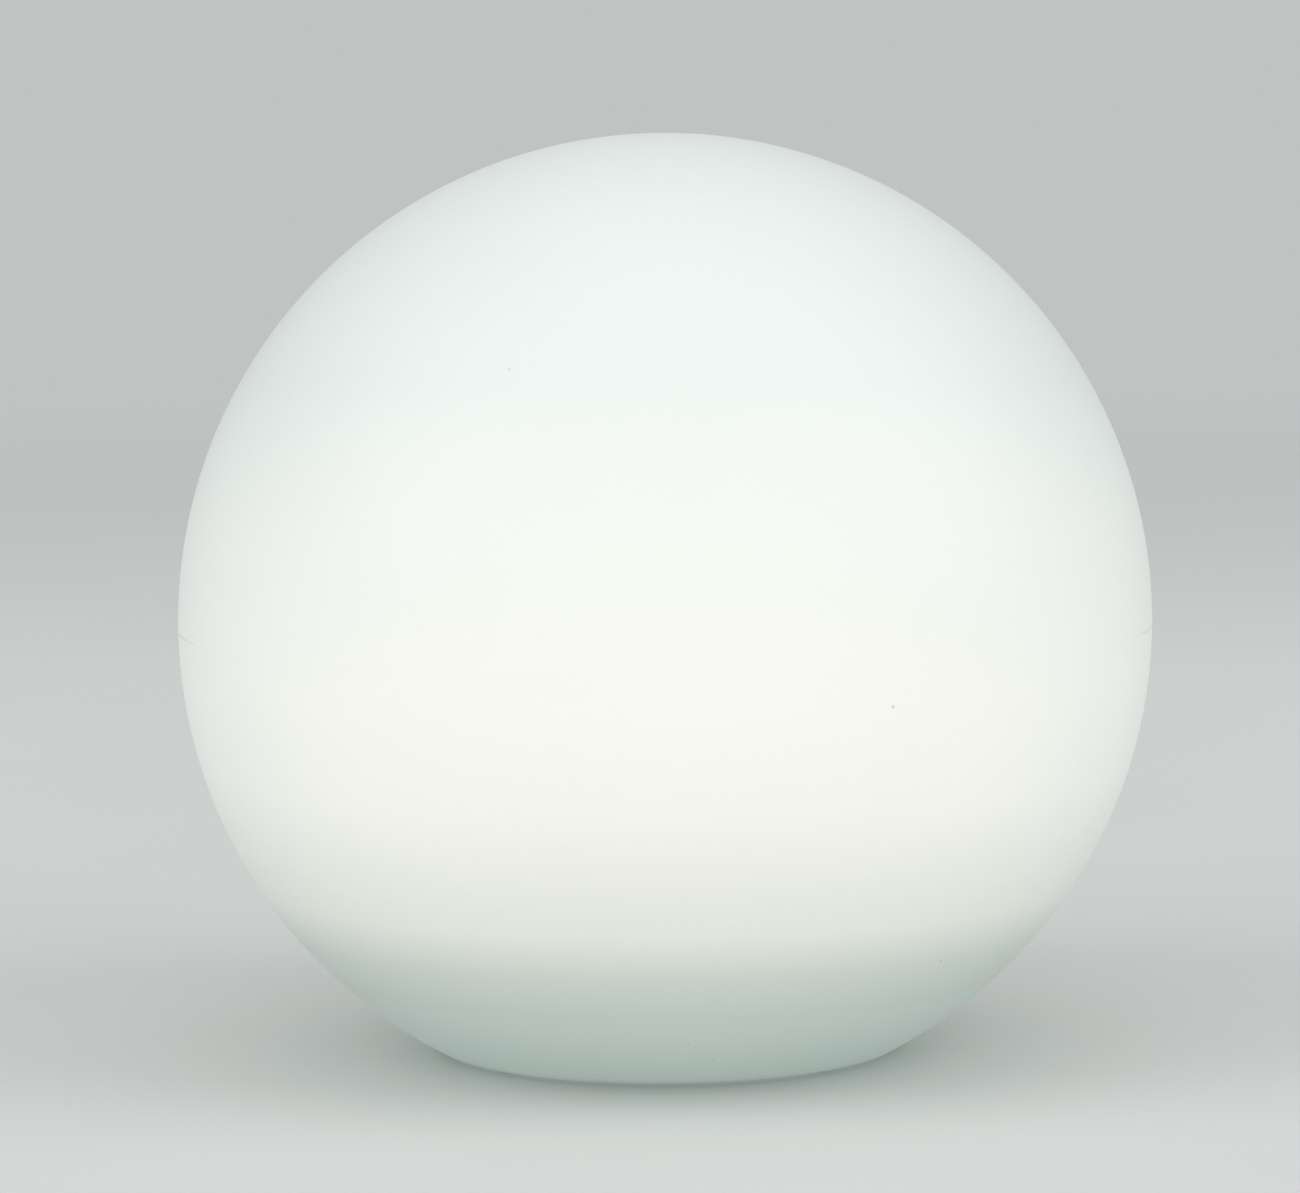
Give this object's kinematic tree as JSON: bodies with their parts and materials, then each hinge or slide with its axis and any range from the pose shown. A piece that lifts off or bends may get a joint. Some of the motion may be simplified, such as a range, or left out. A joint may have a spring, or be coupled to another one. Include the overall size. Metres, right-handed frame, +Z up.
{
  "type": "garden globe light",
  "caption": "Cordless glowing globe light for the garden: moulded white ball with a flat foot, screwed-in battery and LED module, push button and covered charging socket.",
  "frame": {"origin": "on the floor under the globe's centre, in the plane of the four foot pads", "axes": "+Z up along the globe's axis; -Y is the side the picture was taken from; +X to its right"},
  "size_m": [0.4004, 0.4004, 0.377],
  "materials": {
    "globe_polyethylene": "satin, lit from inside",
    "silicone": "matte",
    "dark_rubber": "matte",
    "white_abs": "fine texture",
    "grey_button": "satin",
    "screw_steel": "pickled",
    "insert_brass": "turned",
    "green_board": "solder mask",
    "white_board": "white solder mask",
    "cell_sleeve": "shrink sleeve",
    "nickel": "rolled strip",
    "grey_foam": "closed cell foam",
    "red_wire": "insulation",
    "black_wire": "insulation",
    "clear_plastic": "polished",
    "black_plastic": "moulded",
    "natural_nylon": "moulded",
    "thermal_grey": "soft sheet",
    "phosphor": "silicone over phosphor",
    "can_metal": "drawn can"
  },
  "bodies": {
    "globe": {"globe_shell": "globe_polyethylene", "foot_pads": "silicone", "threaded_inserts": "insert_brass", "flange_gasket": "silicone", "base_plate": "white_abs", "flange_screws": "screw_steel", "battery_housing": "white_abs", "housing_seal": "silicone", "housing_screws": "screw_steel", "control_board": "green_board", "driver_chips": "black_plastic", "power_inductor": "black_plastic", "smoothing_capacitors": "can_metal", "indicator_led": "phosphor", "charge_light_pipe": "clear_plastic", "stack_screws": "screw_steel", "charge_socket": "black_plastic", "charge_socket_pin": "nickel", "charge_socket_seal": "silicone", "cover_strap": "dark_rubber", "cover_anchor": "dark_rubber", "button_boot": "dark_rubber", "boot_ring": "black_plastic", "tact_switch": "black_plastic", "battery_cells": "cell_sleeve", "nickel_strips": "nickel", "battery_cradle": "black_plastic", "battery_pad": "grey_foam", "battery_header": "natural_nylon", "battery_plug": "natural_nylon", "led_header": "natural_nylon", "led_plug": "natural_nylon", "battery_lead_red": "red_wire", "battery_lead_black": "black_wire", "led_lead_red": "red_wire", "led_lead_black": "black_wire", "thermal_pad": "thermal_grey", "led_board": "white_board", "led_chips": "phosphor", "led_board_screws": "screw_steel", "light_dome": "clear_plastic", "dome_seal": "silicone", "dome_ring": "white_abs"},
    "button": {"button_cap": "grey_button", "button_clip": "screw_steel", "switch_plunger": "natural_nylon"},
    "cover": {"socket_cover": "dark_rubber"}
  },
  "joints": [
    {"name": "button_press", "type": "slide", "parent": "globe", "child": "button", "axis": [0, 0, 1], "range_m": [0, 0.0015], "stiffness_N_per_m": 600, "springref_m": -0.001, "deforming": ["button_boot"]},
    {"name": "socket_cover_hinge", "type": "hinge", "parent": "globe", "child": "cover", "pos_m": [-0.02, 0.006, 0.0076], "axis": [1, 0, 0], "range_deg": [0, 120], "deforming": ["cover_strap"]}
  ]
}
